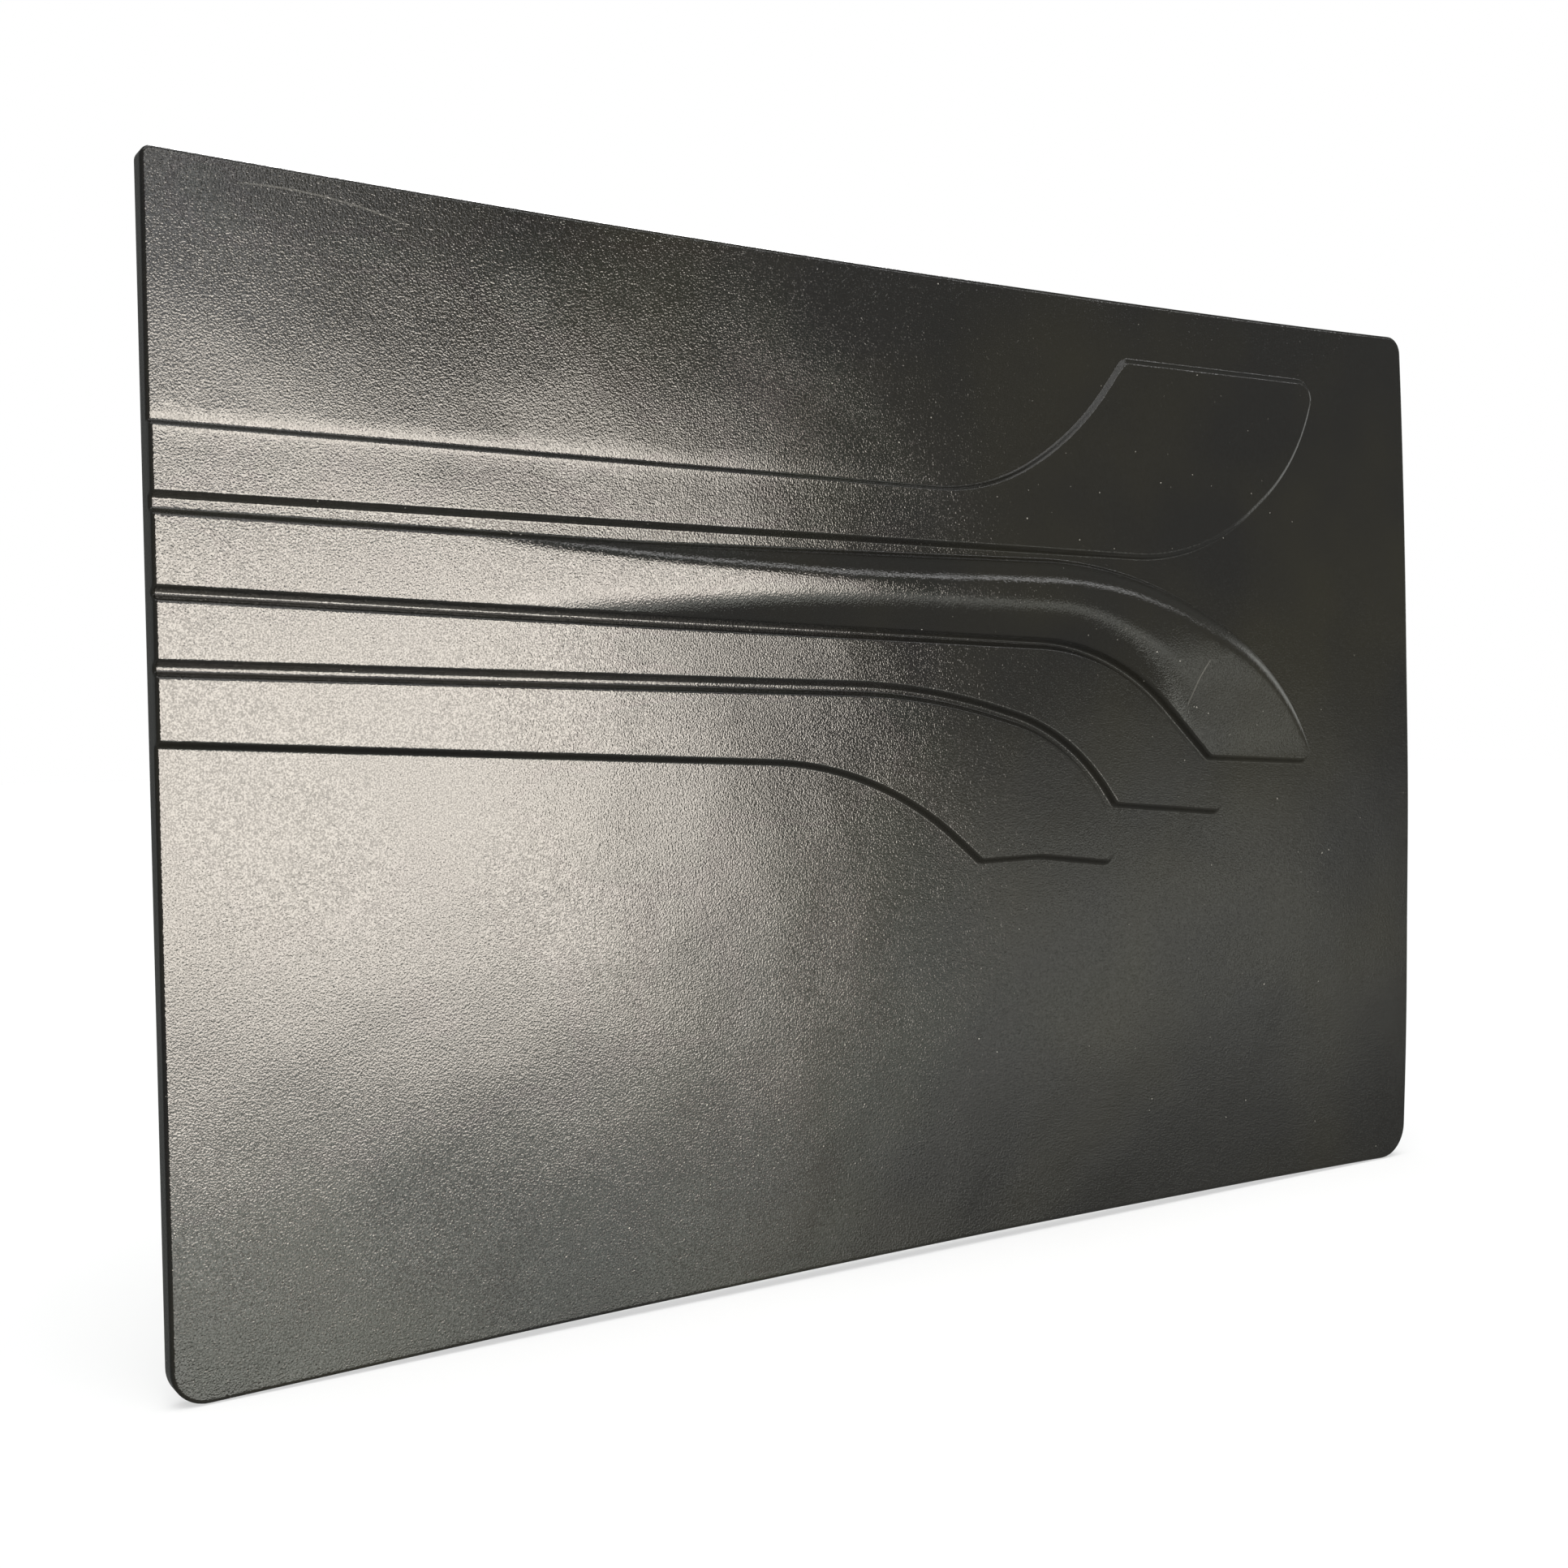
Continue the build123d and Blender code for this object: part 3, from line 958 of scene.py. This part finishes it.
for number in range(1, 11):
    soften(f"clip_seat_{number:02d}", seat_material, 0.00035)
    soften(f"retainer_clip_{number:02d}", clip_material, 0.00018)
    foam_washer(number)
for number in range(1, 7):
    foam_pad(number)

# ---------------------------------------------------------------- studio

floor_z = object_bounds()[0][2] - 0.0004
floor_data = bpy.data.meshes.new("floor")
work = bmesh.new()
bmesh.ops.create_circle(work, cap_ends=True, segments=96, radius=14.0)
work.to_mesh(floor_data)
work.free()
floor_data.transform(Matrix.Translation((0, 0, floor_z)))
floor = bpy.data.objects.new("floor", floor_data)
bpy.context.collection.objects.link(floor)
n = Nodes("floor_paper")
paper = n.blend(n.noise(3.0, 2.0), (0.80, 0.80, 0.80, 1), (0.83, 0.83, 0.83, 1))
floor_data.materials.append(n.finish(Base_Color=paper, Roughness=0.9, Specular_IOR_Level=0.1))
floor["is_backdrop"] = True
# The floor isn't mirrored in the face and blocks none of the lamps
floor.visible_glossy = False
floor.visible_shadow = False

# White where the camera sees it, and dimmer as a light
world = bpy.data.worlds.new("studio")
bpy.context.scene.world = world
world.use_nodes = True
tree = world.node_tree
tree.nodes.clear()
out = tree.nodes.new("ShaderNodeOutputWorld")
mix = tree.nodes.new("ShaderNodeMixShader")
path = tree.nodes.new("ShaderNodeLightPath")
room = tree.nodes.new("ShaderNodeBackground")
room.inputs["Color"].default_value = (0.97, 1.0, 0.97, 1)
room.inputs["Strength"].default_value = 0.16
seen = tree.nodes.new("ShaderNodeBackground")
seen.inputs["Color"].default_value = (1, 1, 1, 1)
seen.inputs["Strength"].default_value = 1.0
tree.links.new(path.outputs["Is Camera Ray"], mix.inputs["Fac"])
tree.links.new(room.outputs[0], mix.inputs[1])
tree.links.new(seen.outputs[0], mix.inputs[2])
tree.links.new(mix.outputs[0], out.inputs["Surface"])


def area_light(name, place, target, size, power, colour=(1, 1, 1)):
    data = bpy.data.lights.new(name, "AREA")
    data.shape = "RECTANGLE"
    data.size, data.size_y = size
    data.energy = power
    data.color = colour
    ob = bpy.data.objects.new(name, data)
    bpy.context.collection.objects.link(ob)
    ob.location = place
    ob.rotation_euler = (Vector(target) - Vector(place)).to_track_quat("-Z", "Y").to_euler()
    return ob


# The camera is mirrored in the panel's face, so a lamp's place in the face is known
CAMERA = Vector((-0.65568, -0.89432, 0.02091))
FACE_Y = -0.012
LAMP_Y = -2.0
REACH = (LAMP_Y - FACE_Y) / (CAMERA.y - FACE_Y)


def lamp_over(x, z):
    """Where at LAMP_Y a lamp is seen in the panel's face at x, z."""
    return Vector((x + (x - CAMERA.x) * REACH, LAMP_Y, z + (z - CAMERA.z) * REACH))


def window(name, x, z, wide, high, lean, brightness, colour):
    """A lamp seen in the face at x, z, wide by high, and turned anticlockwise by lean."""
    place = lamp_over(x, z)
    size = (wide * (1 + REACH), high * (1 + REACH))
    power = brightness * size[0] * size[1] * math.pi
    lamp = area_light(name, place, place + Vector((0, 1, 0)), size, power, colour)
    turn = Matrix.Rotation(math.radians(-lean), 4, "Y")
    lamp.rotation_euler = (turn @ lamp.rotation_euler.to_matrix().to_4x4()).to_euler()
    return lamp


# Every lamp lights the object only, and the floor has a light of its own
lit = bpy.data.collections.new("lit_by_windows")
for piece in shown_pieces():
    lit.objects.link(piece)
for lamp in (
    # name, X and Z in the face, width, height, lean, brightness, colour
    window("key_window", -0.44, 0.013, 0.60, 0.315, 1.0, 15.8, (1.0, 0.925, 0.83)),
    window("side_window", -0.52, 0.245, 0.38, 0.13, -8.0, 2.2, (0.97, 0.98, 1.0)),
    window("high_window", -0.55, 0.42, 0.40, 0.12, -8.0, 4.0, (1.0, 0.96, 0.90)),
    window("low_window", -0.36, -0.26, 0.58, 0.16, 4.0, 4.0, (0.98, 1.0, 0.92)),
    window("glow", 0.03, -0.155, 0.74, 0.19, 10.0, 1.1, (0.98, 1.0, 0.92)),
    # name, place, target, size, power, colour
    area_light("right_lamp", (2.6, -0.2, 0.3), (0.2, 0, 0), (0.9, 1.3), 4.0, (0.98, 1.0, 0.96)),
    area_light("ceiling_strip", (1.4, -2.0, 1.7), (1.4, 0, 0), (4.0, 0.35), 20.0),
):
    lamp.light_linking.receiver_collection = lit

staged = bpy.data.collections.new("lit_by_floor_light")
staged.objects.link(floor)


def soft_sun(name, energy, angle, tilt, receivers, blockers=None):
    """A wide sun that lights receivers only, and is blocked by blockers only if they're given."""
    data = bpy.data.lights.new(name, "SUN")
    data.energy = energy
    data.angle = math.radians(angle)
    ob = bpy.data.objects.new(name, data)
    ob.rotation_euler = [math.radians(turn) for turn in tilt]
    bpy.context.collection.objects.link(ob)
    ob.light_linking.receiver_collection = receivers
    ob.light_linking.blocker_collection = blockers


FROM_ABOVE = (14.0, -6.0, 0.0)
soft_sun("floor_light", 1.2, 50.0, FROM_ABOVE, staged)
soft_sun("floor_wash", 2.5, 50.0, FROM_ABOVE, staged, staged)
soft_sun("overhead", 0.9, 60.0, FROM_ABOVE, lit)
soft_sun("back_light", 2.4, 30.0, (-45.0, 0.0, -30.0), lit)

# ---------------------------------------------------------------- camera

# Solved from the four corners of the panel in the photo
YAW, PITCH, ROLL_ANGLE = (math.radians(angle) for angle in (32.494, -1.7015, -0.8882))
IMAGE, FOCAL = 1932, 2239.74  # the photo's width and the focal length, in pixels
SENSOR = 36  # mm
forward = Vector(
    (math.sin(YAW) * math.cos(PITCH), math.cos(YAW) * math.cos(PITCH), math.sin(PITCH))
)
right = Vector((math.cos(YAW), -math.sin(YAW), 0))
up = right.cross(forward)
right, up = (
    math.cos(ROLL_ANGLE) * right + math.sin(ROLL_ANGLE) * up,
    math.cos(ROLL_ANGLE) * up - math.sin(ROLL_ANGLE) * right,
)
camera_data = bpy.data.cameras.new("camera")
camera_data.sensor_width = SENSOR
camera_data.lens = FOCAL / IMAGE * SENSOR
camera_data.clip_start = 0.02
camera = bpy.data.objects.new("camera", camera_data)
bpy.context.collection.objects.link(camera)
turn = Matrix((right, up, -forward)).transposed().to_4x4()
camera.matrix_world = Matrix.Translation(CAMERA) @ turn
bpy.context.scene.camera = camera
bpy.context.scene.view_settings.view_transform = "Standard"
